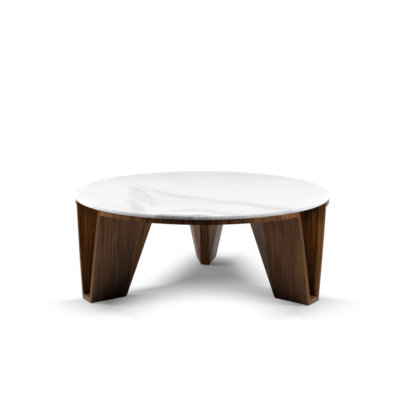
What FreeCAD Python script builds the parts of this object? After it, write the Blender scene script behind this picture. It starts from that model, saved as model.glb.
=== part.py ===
import FreeCAD, Part
import math
import os
from collections import namedtuple

import Sketcher

# Round cocktail table: a loose stone disc on a wooden sub-top, carried by three legs folded from boards.
# Lengths are millimetres, +Z is up, and the origin lies on the floor under the middle of the top.

Vector = FreeCAD.Vector
UP = Vector(0, 0, 1)
DOWN = Vector(0, 0, -1)
OUTWARDS = Vector(1, 0, 0)

# Driving dimensions
SIZES = {
    # Whole table
    "table_diameter": 1067.0,
    "overall_height": 410.0,
    # Stone top and the pads it lies on
    "marble_thickness": 14.0,
    "marble_edge_round": 2.0,
    "pad_thickness": 1.0,
    "pad_diameter": 20.0,
    "outer_pad_inset": 62.5,
    "inner_pad_radius": 150.0,
    # Sub-top and its lipping
    "subtop_thickness": 19.0,
    "rim_setback": 1.0,
    "rim_band_thickness": 5.0,
    "glue_line": 0.2,
    "notch_clearance": 0.25,
    # Leg boards: widths across the outer faces, and lengths inwards from the rim
    "panel_thickness": 19.0,
    "panel_edge_round": 1.0,
    "crown_width": 260.0,
    "fold_inset": 195.5,
    "fold_apex_height": 12.0,
    "step_beyond_fold": 58.0,
    "spine_inset": 318.0,
    "spine_top_width": 40.0,
    "foot_length": 169.5,
    "foot_outer_width": 94.0,
    "foot_inner_width": 38.0,
    "foot_thickness": 20.0,
    "cleat_thickness": 22.0,
    # Bolts from the sub-top into the leg cleats
    "inner_bolt_setback": 55.5,
    "outer_bolt_spread": 70.0,
    "bolt_diameter": 8.0,
    "bolt_reach_past_insert": 2.8,
    "bolt_head_overhang": 4.0,
    "bolt_head_height": 4.0,
    "bolt_head_recess": 0.8,
    "bolt_socket_width": 5.0,
    "bolt_socket_depth": 2.5,
    "bolt_hole_clearance": 0.5,
    "washer_overhang": 1.0,
    "washer_thickness": 1.6,
    "counterbore_clearance": 0.5,
    "insert_wall": 2.25,
    "insert_cover": 9.0,
    "insert_seat_clearance": 0.1,
    "thread_clearance": 0.1,
    # Levelling glides
    "glide_inset": 62.5,
    "glide_gap": 2.5,
    "glide_base_diameter": 24.0,
    "glide_base_thickness": 6.0,
    "glide_base_floor": 2.0,
    "glide_base_clearance": 0.5,
    "collar_width": 13.0,
    "collar_thickness": 3.0,
    "collar_clearance": 0.4,
    "stem_diameter": 8.0,
    "stem_end_gap": 0.9,
    "spigot_diameter": 5.0,
    "spigot_clearance": 0.1,
    "glide_insert_wall": 2.0,
    "glide_insert_cover": 3.1,
}

# Sides of the bolt sockets and the glide collars
HEX_SIDES = 6


def hexagon_radius(width):
    """Expression for the corner radius of a hexagon of a width across its flats."""
    return f"({width} / 2 / cos(180 deg / {HEX_SIDES}))"



# Heights above the floor, as expressions on the sizes
MARBLE_UNDERSIDE = "(Sizes.overall_height - Sizes.marble_thickness)"
SUBTOP_TOP = f"({MARBLE_UNDERSIDE} - Sizes.pad_thickness)"
SUBTOP_UNDERSIDE = f"({SUBTOP_TOP} - Sizes.subtop_thickness)"
CLEAT_UNDERSIDE = f"({SUBTOP_UNDERSIDE} - Sizes.cleat_thickness)"
INSERT_FOOT = f"({CLEAT_UNDERSIDE} + Sizes.insert_cover)"
BOLT_FOOT = f"({INSERT_FOOT} - Sizes.bolt_reach_past_insert)"
BOLT_TOP = f"({SUBTOP_TOP} - Sizes.bolt_head_recess)"
BOLT_SEAT = f"({BOLT_TOP} - Sizes.bolt_head_height)"
COUNTERBORE_FLOOR = f"({BOLT_SEAT} - Sizes.washer_thickness)"
FOOT_TOP = "(Sizes.glide_gap + Sizes.foot_thickness)"
SPIGOT_FOOT = "Sizes.glide_base_floor"
COLLAR_SEAT = "Sizes.glide_base_thickness"
COLLAR_TOP = f"({COLLAR_SEAT} + Sizes.collar_thickness)"
GLIDE_INSERT_FOOT = f"({COLLAR_TOP} + Sizes.collar_clearance)"
GLIDE_INSERT_HEAD = f"({FOOT_TOP} - Sizes.glide_insert_cover)"
STEM_TOP = f"({GLIDE_INSERT_HEAD} - Sizes.stem_end_gap)"

# Distances from the middle of the table
RIM_RADIUS = "(Sizes.table_diameter / 2 - Sizes.rim_setback)"
CORE_RADIUS = f"({RIM_RADIUS} - Sizes.rim_band_thickness - Sizes.glue_line)"
OUTER_PAD_RADIUS = f"({RIM_RADIUS} - Sizes.outer_pad_inset)"
FOLD_RADIUS = f"({RIM_RADIUS} - Sizes.fold_inset)"
STEP_RADIUS = f"({FOLD_RADIUS} + Sizes.step_beyond_fold)"
SPINE_RADIUS = f"({RIM_RADIUS} - Sizes.spine_inset)"
FOOT_INNER_RADIUS = f"({RIM_RADIUS} - Sizes.foot_length)"
INNER_BOLT_RADIUS = f"({SPINE_RADIUS} + Sizes.inner_bolt_setback)"
GLIDE_STATION = f"({RIM_RADIUS} - Sizes.glide_inset)"

# Radii of the round pieces and of the holes that they sit in
BOLT_SHANK = "(Sizes.bolt_diameter / 2)"
BOLT_HOLE = f"({BOLT_SHANK} + Sizes.bolt_hole_clearance)"
BOLT_HEAD = f"({BOLT_SHANK} + Sizes.bolt_head_overhang)"
WASHER = f"({BOLT_HEAD} + Sizes.washer_overhang)"
COUNTERBORE = f"({WASHER} + Sizes.counterbore_clearance)"
INSERT = f"({BOLT_SHANK} + Sizes.insert_wall)"
INSERT_SEAT = f"({INSERT} + Sizes.insert_seat_clearance)"
STEM = "(Sizes.stem_diameter / 2)"
GLIDE_INSERT = f"({STEM} + Sizes.glide_insert_wall)"

# Bolt places along and across a leg: one near the spine, two where the side panels fold
BOLT_PLACES = (
    (INNER_BOLT_RADIUS, None),
    (FOLD_RADIUS, "Sizes.outer_bolt_spread / 2"),
    (FOLD_RADIUS, "-Sizes.outer_bolt_spread / 2"),
)

# Stepped bore for a levelling glide: the radius and the top of each step
GLIDE_BORE = (
    ("Sizes.glide_base_diameter / 2 + Sizes.glide_base_clearance", COLLAR_SEAT),
    (f"{hexagon_radius('Sizes.collar_width')} + Sizes.collar_clearance", GLIDE_INSERT_FOOT),
    (f"{GLIDE_INSERT} + Sizes.insert_seat_clearance", GLIDE_INSERT_HEAD),
)

# Legs stand a third of a turn apart, and a band of the rim starts at each leg
BAND_NAMES = {"back": "rim_band_left", "front_left": "rim_band_front", "front_right": "rim_band_right"}
FULL_TURN = 360
SECTOR_ANGLE = FULL_TURN / len(BAND_NAMES)
BACK_ANGLE = 90
LEG_ANGLES = {leg: BACK_ANGLE + SECTOR_ANGLE * turn for turn, leg in enumerate(BAND_NAMES)}

# Pads, by the turn from a leg
OUTER_PAD_TURNS = (30, 60, 90)
INNER_PAD_TURN = 60

# Blanks and saw cuts reach past every board, in table diameters
BLANK_REACH = 1
SAW_REACH = 4

# How near an edge's middle lies to the rim, if the edge is on it
ON_RIM_TOLERANCE = 0.01

doc = FreeCAD.newDocument("cocktail_table")
sheet = doc.addObject("Spreadsheet::Sheet", "Sizes")
for row, (alias, number) in enumerate(SIZES.items(), start=1):
    sheet.set(f"A{row}", alias)
    sheet.set(f"B{row}", str(number))
    sheet.setAlias(f"B{row}", alias)
doc.recompute()

sub_parts = []


def value(expression):
    """Number that an expression on the sizes gives."""
    return float(sheet.evalExpression(expression))


def size(alias):
    """One driving dimension."""
    return float(sheet.get(alias))


def bind(target, **expressions):
    """Ties properties of an object to expressions on the sizes."""
    for name, expression in expressions.items():
        target.setExpression(name, expression)
    return target


def lift(target, expression):
    """Ties the height of an object above the floor to an expression."""
    target.setExpression("Placement.Base.z", expression)
    return target


def stand_at(target, angle, radius, offset="0"):
    """Ties an object's place in plan: along a leg at an angle, and to its side by an offset."""
    target.setExpression("Placement.Base.x", f"{radius} * cos({angle} deg) - {offset} * sin({angle} deg)")
    target.setExpression("Placement.Base.y", f"{radius} * sin({angle} deg) + {offset} * cos({angle} deg)")
    return target


def finished(target, label):
    """Names a sub-part and keeps it for writing."""
    target.Label = label
    sub_parts.append(target)
    return target


def cylinder(name, radius, foot, top):
    """Upright round bar between two heights."""
    bar = doc.addObject("Part::Cylinder", name)
    return lift(bind(bar, Radius=radius, Height=f"{top} - {foot}"), foot)


def hexagon(name, width, foot, top):
    """Upright six-sided bar between two heights, of a width across its flats."""
    bar = doc.addObject("Part::Prism", name)
    bar.Polygon = HEX_SIDES
    return lift(bind(bar, Circumradius=hexagon_radius(width), Height=f"{top} - {foot}"), foot)


def cut(name, base, tool):
    """One shape with another taken out of it."""
    result = doc.addObject("Part::Cut", name)
    result.Base = base
    result.Tool = tool
    return result


def fuse(name, shapes):
    """Several shapes joined into one."""
    result = doc.addObject("Part::MultiFuse", name)
    result.Shapes = shapes
    return result


def copies(label, source, places):
    """Group of separate copies of one piece, each at an angle, a radius and an offset."""
    links = []
    for number, (angle, radius, offset) in enumerate(places, start=1):
        link = doc.addObject("App::Link", f"{label}_{number}")
        link.LinkedObject = source
        lift(link, f"{source.Name}.Placement.Base.z")
        links.append(stand_at(link, angle, radius, offset))
    group = doc.addObject("Part::Compound", f"{label}_group")
    group.Links = links
    return finished(group, label)


def origin_feature(body, role):
    """Plane or axis of a body's own origin."""
    return next(feature for feature in body.Origin.OriginFeatures if feature.Role == role)


def sketch_on(body, name, role):
    """Empty sketch on one of a body's own planes."""
    sketch = body.newObject("Sketcher::SketchObject", name)
    sketch.AttachmentSupport = (origin_feature(body, role), [""])
    sketch.MapMode = "FlatFace"
    return sketch


def constrain(sketch, kind, *where, expression):
    """Dimension in a sketch, tied to an expression."""
    index = sketch.addConstraint(Sketcher.Constraint(kind, *where, value(expression)))
    sketch.setExpression(f"Constraints[{index}]", expression)


def add_circle(sketch, radius, x=None, y=None):
    """Circle in a sketch, on its origin or at a distance along its axes."""
    centre = Vector(value(x) if x else 0, value(y) if y else 0, 0)
    circle = sketch.addGeometry(Part.Circle(centre, UP, value(radius)))
    constrain(sketch, "Radius", circle, expression=radius)
    if x is None:
        sketch.addConstraint(Sketcher.Constraint("Coincident", circle, 3, -1, 1))
        return
    constrain(sketch, "DistanceX", -1, 1, circle, 3, expression=x)
    if y is None:
        sketch.addConstraint(Sketcher.Constraint("PointOnObject", circle, 3, -1))
    else:
        constrain(sketch, "DistanceY", -1, 1, circle, 3, expression=y)


def disc_body(name, radius, thickness):
    """Body that starts as a round disc on its own ground plane."""
    body = doc.addObject("PartDesign::Body", name)
    outline = sketch_on(body, f"{name}_outline", "XY_Plane")
    add_circle(outline, radius)
    pad = body.newObject("PartDesign::Pad", f"{name}_disc")
    pad.Profile = outline
    bind(pad, Length=thickness)
    doc.recompute()
    return body, pad


def make_marble_top():
    """Stone disc with both edges eased."""
    body, disc = disc_body("marble_top", "Sizes.table_diameter / 2", "Sizes.marble_thickness")
    rims = [f"Edge{number}" for number, edge in enumerate(disc.Shape.Edges, start=1) if edge.isClosed()]
    easing = body.newObject("PartDesign::Fillet", "marble_easing")
    easing.Base = (disc, rims)
    bind(easing, Radius="Sizes.marble_edge_round")
    lift(body, MARBLE_UNDERSIDE)
    finished(body, "marble_top")


def make_marble_pads():
    """Silicone dots between the sub-top and the stone."""
    dot = cylinder("marble_pad", "Sizes.pad_diameter / 2", SUBTOP_TOP, MARBLE_UNDERSIDE)
    places = []
    for angle in LEG_ANGLES.values():
        places += [(angle + turn, OUTER_PAD_RADIUS, "0") for turn in OUTER_PAD_TURNS]
        places.append((angle + INNER_PAD_TURN, "Sizes.inner_pad_radius", "0"))
    copies("marble_pads", dot, places)


def bolt_pocket(body, name, radius, depth=None):
    """Round pockets at one leg's bolts, from the top face down, and the same at the other legs."""
    sketch = sketch_on(body, f"{name}_sketch", "XY_Plane")
    bind(sketch, **{"AttachmentOffset.Base.z": "Sizes.subtop_thickness"})
    for along, across in BOLT_PLACES:
        add_circle(sketch, radius, along, across)
    pocket = body.newObject("PartDesign::Pocket", name)
    pocket.Profile = sketch
    if depth is None:
        pocket.Type = "ThroughAll"
    else:
        bind(pocket, Length=depth)
    doc.recompute()
    pattern = body.newObject("PartDesign::PolarPattern", f"{name}_pattern")
    pattern.Originals = [pocket]
    pattern.Axis = (origin_feature(body, "Z_Axis"), [""])
    pattern.Occurrences = len(LEG_ANGLES)
    pattern.Angle = FULL_TURN
    body.Tip = pattern


def make_sub_top(notches):
    """Round board, notched where the legs come up and bored for the leg bolts."""
    body, _ = disc_body("sub_top_core", CORE_RADIUS, "Sizes.subtop_thickness")
    bolt_pocket(body, "bolt_holes", BOLT_HOLE)
    bolt_pocket(body, "counterbores", COUNTERBORE, f"{SUBTOP_TOP} - {COUNTERBORE_FLOOR}")
    lift(body, SUBTOP_UNDERSIDE)
    body.setExpression("Placement.Rotation.Angle", f"{BACK_ANGLE} deg")
    finished(cut("sub_top", body, notches), "sub_top_panel")


def make_rim_band(leg, notches):
    """Lipping of the sub-top from one leg round to the next."""
    label = BAND_NAMES[leg]
    body = doc.addObject("PartDesign::Body", f"{label}_body")
    section = sketch_on(body, f"{label}_section", "XZ_Plane")
    inner = value(f"{RIM_RADIUS} - Sizes.rim_band_thickness")
    outer = value(RIM_RADIUS)
    top = size("subtop_thickness")
    corners = [Vector(inner, 0), Vector(outer, 0), Vector(outer, top), Vector(inner, top)]
    sides = []
    for start, end in zip(corners, corners[1:] + corners[:1]):
        sides.append(section.addGeometry(Part.LineSegment(start, end)))
    for side, following in zip(sides, sides[1:] + sides[:1]):
        section.addConstraint(Sketcher.Constraint("Coincident", side, 2, following, 1))
    for level, upright in (sides[:2], sides[2:]):
        section.addConstraint(Sketcher.Constraint("Horizontal", level))
        section.addConstraint(Sketcher.Constraint("Vertical", upright))
    section.addConstraint(Sketcher.Constraint("PointOnObject", sides[0], 1, -1))
    constrain(section, "DistanceX", -1, 1, sides[0], 2, expression=RIM_RADIUS)
    constrain(section, "DistanceX", sides[0], 1, sides[0], 2, expression="Sizes.rim_band_thickness")
    constrain(section, "DistanceY", sides[1], 1, sides[1], 2, expression="Sizes.subtop_thickness")
    bend = body.newObject("PartDesign::Revolution", f"{label}_bend")
    bend.Profile = section
    bend.ReferenceAxis = (section, ["V_Axis"])
    bend.Angle = SECTOR_ANGLE
    lift(body, SUBTOP_UNDERSIDE)
    body.setExpression("Placement.Rotation.Angle", f"{LEG_ANGLES[leg]} deg")
    finished(cut(f"{label}_cut", body, notches), label)


# Flat outer face of a board: a point on it and the direction out of the leg
Face = namedtuple("Face", "point outward")


def face_through(a, b, c, inside):
    """Face through three points that looks away from a point inside the leg."""
    outward = (b - a).cross(c - a).normalize()
    if outward.dot(inside - a) > 0:
        outward = -outward
    return Face(a, outward)


def flipped(vector):
    """A point or a direction on the other side of a leg."""
    return Vector(vector.x, -vector.y, vector.z)


def mirrored(face):
    """The same face on the other side of a leg."""
    return Face(flipped(face.point), flipped(face.outward))


def saw(shape, point, outward):
    """Shape with all that lies beyond a plane sawn off."""
    reach = SAW_REACH * size("table_diameter")
    return shape.cut(Part.makeCylinder(reach, reach, point, outward))


def mitre(shape, kept, other, corner):
    """Board of one face, mitred along the fold to the board of another face."""
    return saw(shape, corner, other.outward - kept.outward)


class LegBoards:
    """Shapes of one leg's boards, with the leg standing along +X and its right side towards +Y."""

    def __init__(self):
        self.thickness = size("panel_thickness")
        self.foot = size("glide_gap")
        self.shoulder = value(SUBTOP_UNDERSIDE)
        self.crown = value(SUBTOP_TOP)
        self.rim = value(RIM_RADIUS)
        self.step = value(STEP_RADIUS)
        foot_outer = self.on_rim(size("foot_outer_width") / 2, self.foot)
        foot_inner = Vector(value(FOOT_INNER_RADIUS), size("foot_inner_width") / 2, self.foot)
        crown_outer = self.on_rim(size("crown_width") / 2, self.crown)
        hollow = Vector((foot_outer.x + foot_inner.x) / 2, 0, self.shoulder / 2)
        self.side = face_through(foot_outer, foot_inner, crown_outer, hollow)
        self.spine_corner = Vector(value(SPINE_RADIUS), size("spine_top_width") / 2, self.shoulder)
        self.spine = face_through(foot_inner, self.spine_corner, flipped(self.spine_corner), hollow)
        climb = size("fold_apex_height") / (self.shoulder - self.foot)
        apex_along = foot_inner.x + (self.spine_corner.x - foot_inner.x) * climb
        self.apex = self.on_side(apex_along, self.foot + size("fold_apex_height"))
        self.fold_corner = self.on_side(value(FOLD_RADIUS), self.shoulder)
        self.gusset = face_through(self.apex, self.fold_corner, self.spine_corner, hollow)

    def on_rim(self, across, height):
        """Point of the rim cylinder at a distance from the leg's middle."""
        return Vector(math.sqrt(self.rim ** 2 - across ** 2), across, height)

    def on_side(self, along, height):
        """Point of the side panel's outer face at a place along the leg and a height."""
        normal = self.side.outward
        across = (normal.dot(self.side.point) - normal.x * along - normal.z * height) / normal.y
        return Vector(along, across, height)

    def blank(self, face):
        """Wide sheet of board lying under a face."""
        reach = BLANK_REACH * size("table_diameter")
        return Part.makeCylinder(reach, self.thickness, face.point, -face.outward)

    def between_foot_and(self, top, shape):
        """Shape sawn level at the foot and at a height."""
        return saw(saw(shape, Vector(0, 0, self.foot), DOWN), Vector(0, 0, top), UP)

    def bored(self, shape):
        """Shape with the stepped bore of the levelling glide."""
        station = Vector(value(GLIDE_STATION), 0, 0)
        for radius, top in GLIDE_BORE:
            shape = shape.cut(Part.makeCylinder(value(radius), value(top), station))
        return shape

    def side_panel(self):
        """Right side panel: stepped top, mitred inner end, round outer end with eased edges."""
        panel = self.between_foot_and(self.crown, self.blank(self.side))
        panel = mitre(panel, self.side, self.gusset, self.fold_corner)
        panel = mitre(panel, self.side, self.spine, self.apex)
        panel = saw(panel, Vector(), Vector(0, -1, 0))
        panel = panel.common(Part.makeCylinder(self.rim, self.crown))
        above_shoulder = Part.makeCylinder(self.rim, self.crown, Vector(0, 0, self.shoulder))
        panel = panel.cut(saw(above_shoulder, Vector(self.step, 0, 0), OUTWARDS))
        return self.eased(self.bored(panel))

    def eased(self, panel):
        """Panel with the two long edges of its outer end rounded."""
        half_way = (self.foot + self.crown) / 2
        long_edges = []
        for edge in panel.Edges:
            box = edge.BoundBox
            middle = edge.valueAt((edge.FirstParameter + edge.LastParameter) / 2)
            off_rim = abs(math.hypot(middle.x, middle.y) - self.rim)
            if off_rim < ON_RIM_TOLERANCE and box.ZMin < half_way < box.ZMax:
                long_edges.append(edge)
        return panel.makeFillet(size("panel_edge_round"), long_edges)

    def gusset_board(self):
        """Right three-cornered board between the side panel and the spine."""
        board = self.between_foot_and(self.shoulder, self.blank(self.gusset))
        board = mitre(board, self.gusset, self.side, self.fold_corner)
        return mitre(board, self.gusset, self.spine, self.spine_corner)

    def spine_board(self):
        """Narrow board towards the middle of the table, mitred on both edges."""
        board = self.between_foot_and(self.shoulder, self.blank(self.spine))
        for neighbour, corner in ((self.side, self.apex), (self.gusset, self.spine_corner)):
            board = mitre(board, self.spine, neighbour, corner)
            board = mitre(board, self.spine, mirrored(neighbour), flipped(corner))
        return board

    def filling(self, low, high):
        """Level board that fills the hollow of the leg between two heights."""
        board = Part.makeCylinder(self.rim, high - low, Vector(0, 0, low))
        for face in (self.spine, self.side, self.gusset, mirrored(self.side), mirrored(self.gusset)):
            board = saw(board, face.point - face.outward * self.thickness, face.outward)
        return board

    def foot_plate(self):
        """Board that closes the bottom and carries the levelling glide."""
        return self.bored(self.filling(self.foot, value(FOOT_TOP)))

    def cleat(self):
        """Board that closes the top under the sub-top, bored for the threaded inserts."""
        low = value(CLEAT_UNDERSIDE)
        board = self.filling(low, self.shoulder)
        board = saw(board, Vector(self.step, 0, 0), OUTWARDS)
        for along, across in BOLT_PLACES:
            foot = Vector(value(along), value(across) if across else 0, low)
            board = board.cut(Part.makeCylinder(value(INSERT_SEAT), self.shoulder - low, foot))
        return board

    def notch(self):
        """Room that the leg needs in the sub-top: all between the side panels, beyond their step."""
        clearance = size("notch_clearance")
        overcut = self.crown - self.shoulder
        low = self.shoulder - overcut
        high = self.crown + overcut
        room = Part.makeCylinder(size("table_diameter"), high - low, Vector(0, 0, low))
        for face in (self.side, mirrored(self.side)):
            room = saw(room, face.point + face.outward * clearance, face.outward)
        return saw(room, Vector(self.step - clearance, 0, 0), -OUTWARDS)


def put_on_leg(name, shape, angle):
    """Shape of a board, turned to its leg."""
    feature = doc.addObject("Part::Feature", name)
    feature.Shape = shape
    feature.Placement = FreeCAD.Placement(Vector(), FreeCAD.Rotation(UP, angle))
    return feature


def make_notches(boards):
    """Tool that cuts the three notches of the sub-top and its lipping."""
    room = boards.notch()
    tools = doc.addObject("Part::Compound", "leg_notches")
    tools.Links = [put_on_leg(f"{leg}_notch", room, angle) for leg, angle in LEG_ANGLES.items()]
    return tools


def make_legs(boards):
    """The boards of the three legs, each a sub-part."""
    mid_plane = (Vector(), Vector(0, 1, 0))
    right_panel = boards.side_panel()
    right_gusset = boards.gusset_board()
    shapes = {
        "right_panel": right_panel,
        "left_panel": right_panel.mirror(*mid_plane),
        "right_gusset": right_gusset,
        "left_gusset": right_gusset.mirror(*mid_plane),
        "spine": boards.spine_board(),
        "foot_plate": boards.foot_plate(),
        "cleat": boards.cleat(),
    }
    for leg, angle in LEG_ANGLES.items():
        for piece, shape in shapes.items():
            label = f"{leg}_leg_{piece}"
            finished(put_on_leg(f"{label}_board", shape, angle), label)


def ring(name, radius, hole, foot, top):
    """Round bar between two heights with a hole through it."""
    return cut(name, cylinder(f"{name}_blank", radius, foot, top), cylinder(f"{name}_hole", hole, foot, top))


def make_bolts():
    """Bolts, washers and threaded inserts that hold the legs to the sub-top."""
    shank = cylinder("bolt_shank", BOLT_SHANK, BOLT_FOOT, BOLT_SEAT)
    head = cylinder("bolt_head", BOLT_HEAD, BOLT_SEAT, BOLT_TOP)
    socket_floor = f"({BOLT_TOP} - Sizes.bolt_socket_depth)"
    socket = hexagon("bolt_socket", "Sizes.bolt_socket_width", socket_floor, BOLT_TOP)
    bolt = cut("bolt", fuse("bolt_blank", [shank, head]), socket)
    washer = ring("washer", WASHER, BOLT_HOLE, COUNTERBORE_FLOOR, BOLT_SEAT)
    thread = f"{BOLT_SHANK} + Sizes.thread_clearance"
    insert = ring("insert", INSERT, thread, INSERT_FOOT, SUBTOP_UNDERSIDE)
    places = []
    for angle in LEG_ANGLES.values():
        places += [(angle, along, across or "0") for along, across in BOLT_PLACES]
    copies("leg_bolts", bolt, places)
    copies("bolt_washers", washer, places)
    copies("cleat_inserts", insert, places)


def make_glide(leg, angle):
    """Levelling glide of one leg: nylon base, threaded stem and the insert that it turns in."""
    socket = "Sizes.spigot_diameter / 2 + Sizes.spigot_clearance"
    thread = f"{STEM} + Sizes.thread_clearance"
    base = cut(
        f"{leg}_base",
        cylinder(f"{leg}_base_disc", "Sizes.glide_base_diameter / 2", "0", COLLAR_SEAT),
        cylinder(f"{leg}_base_socket", socket, SPIGOT_FOOT, COLLAR_SEAT),
    )
    stem = fuse(f"{leg}_stem", [
        cylinder(f"{leg}_spigot", "Sizes.spigot_diameter / 2", SPIGOT_FOOT, COLLAR_SEAT),
        hexagon(f"{leg}_collar", "Sizes.collar_width", COLLAR_SEAT, COLLAR_TOP),
        cylinder(f"{leg}_shank", STEM, COLLAR_TOP, STEM_TOP),
    ])
    insert = ring(f"{leg}_insert", GLIDE_INSERT, thread, GLIDE_INSERT_FOOT, GLIDE_INSERT_HEAD)
    for piece, target in (("base", base), ("stem", stem), ("insert", insert)):
        finished(stand_at(target, angle, GLIDE_STATION), f"{leg}_glide_{piece}")


def check_and_write():
    """Stops on any failed object or shape, then writes each sub-part to its own file."""
    doc.recompute()
    failed = [item.Label for item in doc.Objects if {"Invalid", "Error"} & set(item.State)]
    for item in sub_parts:
        if item.Shape.isNull() or not item.Shape.isValid() or not item.Shape.Solids:
            failed.append(item.Label)
    if failed:
        raise RuntimeError(f"failed: {', '.join(failed)}")
    os.makedirs("parts", exist_ok=True)
    for item in sub_parts:
        item.Shape.exportStep(os.path.join("parts", f"{item.Label}.step"))
        print(f"{item.Label}: {len(item.Shape.Solids)} solids, {item.Shape.Volume / 1000:.2f} cm3")


leg_boards = LegBoards()
leg_notches = make_notches(leg_boards)
make_marble_top()
make_marble_pads()
make_sub_top(leg_notches)
for leg_name in LEG_ANGLES:
    make_rim_band(leg_name, leg_notches)
make_legs(leg_boards)
make_bolts()
for leg_name, leg_angle in LEG_ANGLES.items():
    make_glide(leg_name, leg_angle)
check_and_write()
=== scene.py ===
"""Round cocktail table: a veined marble disc on three folded walnut legs.

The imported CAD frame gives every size. This script lays the grain along each
board, turns the marble, dresses the fittings, and sets up the studio.
"""

import logging
import math
from dataclasses import dataclass, replace
from enum import Enum

import bmesh
import bpy
from mathutils import Matrix, Vector


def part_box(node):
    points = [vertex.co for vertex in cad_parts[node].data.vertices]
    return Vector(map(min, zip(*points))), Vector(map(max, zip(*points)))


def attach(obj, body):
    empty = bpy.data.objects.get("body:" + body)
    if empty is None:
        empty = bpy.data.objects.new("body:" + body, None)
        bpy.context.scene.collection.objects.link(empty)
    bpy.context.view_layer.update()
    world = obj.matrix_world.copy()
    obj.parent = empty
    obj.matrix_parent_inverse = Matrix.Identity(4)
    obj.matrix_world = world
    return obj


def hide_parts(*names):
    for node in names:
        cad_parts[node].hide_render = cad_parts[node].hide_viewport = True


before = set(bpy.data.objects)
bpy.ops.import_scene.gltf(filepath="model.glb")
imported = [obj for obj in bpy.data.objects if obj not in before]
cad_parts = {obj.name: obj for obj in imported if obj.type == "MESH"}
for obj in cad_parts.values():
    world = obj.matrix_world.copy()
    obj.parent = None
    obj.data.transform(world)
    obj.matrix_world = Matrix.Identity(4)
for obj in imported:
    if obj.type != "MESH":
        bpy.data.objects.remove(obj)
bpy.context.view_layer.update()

LOG = logging.getLogger("cocktail_table")
PHOTO_PIXELS = 400
MM = 0.001
# Points that are nearer than this are merged, in millimetres.
WELD = 0.01
# Edges that turn by more than this many degrees are shaded as sharp.
SHARP_TURN = 24.0
# The upright cylinder that the rim and the panels' ends lie on, and how far
# inside it a point still counts as on it, in millimetres.
RIM_RADIUS = 532.5
RIM_TOLERANCE = 0.9
# The boards' own attributes: grain coordinates, and the way to the stave.
GRAIN = "grain"
STAVE = "stave"
# Half of the stave's soft edge in millimetres, and the way to a stave that
# isn't there in metres.
STAVE_FADE = 0.6
NO_STAVE = 1.0
# How far apart in the wood two boards with following numbers are cut, in
# metres, so that no two look alike.
BOARD_STEP = Vector((0.37, 1.9, 0.53))
NUMBERS_PER_LEG = 10
# A board's faces take its first material unless they have one of these
# numbers: the end on the rim and the inside face.
RIM_NUMBER = 1
INSIDE_NUMBER = 2

Socket = bpy.types.NodeSocket
Tree = bpy.types.NodeTree
Material = bpy.types.Material
Shape = bmesh.types.BMesh
Pair = tuple[float, float]
Point = tuple[float, float, float]


class Side(Enum):
    """The two sides of a folded leg, as one faces it from outside."""

    RIGHT = 1
    LEFT = -1


class Leg(Enum):
    """The three legs, by their heading in degrees from the table's right."""

    BACK = 90.0
    FRONT_LEFT = 210.0
    FRONT_RIGHT = 330.0

    @property
    def title(self) -> str:
        """The leg's name as the CAD nodes spell it."""
        return self.name.lower()


class Plank(Enum):
    """The kinds of board in a leg, as the CAD nodes spell them."""

    PANEL = "panel"
    GUSSET = "gusset"
    SPINE = "spine"
    FOOT_PLATE = "foot_plate"
    CLEAT = "cleat"


class Fitting(Enum):
    """What the hidden fittings are made of, by the record's material slot."""

    STEEL = "steel"
    BRASS = "brass"
    NYLON = "nylon"
    SILICONE = "silicone"


def linear(code: str) -> tuple[float, float, float, float]:
    """Turns an sRGB hex colour into linear RGBA.

    Args:
        code: Colour as "#RRGGBB".

    Returns:
        Linear red, green and blue, and an alpha of one.
    """
    parts = [int(code[i:i + 2], 16) / 255 for i in (1, 3, 5)]
    return (*(p / 12.92 if p <= 0.04045 else ((p + 0.055) / 1.055) ** 2.4
              for p in parts), 1.0)


def add_node(tree: Tree, kind: str,
             inputs: dict[int | str, object] | None = None,
             output: int | str = 0, **settings: object) -> Socket | None:
    """Adds a shader node with its settings and links.

    Args:
        tree: Node tree that takes the node.
        kind: Node type without its ShaderNode prefix.
        inputs: A value or an output socket for each input, by name or number.
        output: Which of the node's outputs to hand back.
        settings: Properties of the node itself.

    Returns:
        The chosen output socket, or None where the node has no outputs.
    """
    node = tree.nodes.new("ShaderNode" + kind)
    for name, value in settings.items():
        setattr(node, name, value)
    for key, value in (inputs or {}).items():
        if isinstance(value, Socket):
            tree.links.new(value, node.inputs[key])
        else:
            node.inputs[key].default_value = value
    return node.outputs[output] if node.outputs else None


@dataclass(frozen=True)
class Finish:
    """What all finishes share: a name and one Principled shader."""

    name: str

    def start(self) -> tuple[Material, Tree]:
        """Makes the material with an empty node tree.

        Returns:
            The material and its tree.
        """
        material = bpy.data.materials.new(self.name)
        material.use_nodes = True
        material.node_tree.nodes.clear()
        return material, material.node_tree

    def shade(self, tree: Tree, inputs: dict[str, object]) -> None:
        """Closes the tree with a Principled shader that has these inputs."""
        shader = add_node(tree, "BsdfPrincipled", inputs)
        add_node(tree, "OutputMaterial", {"Surface": shader})


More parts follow.
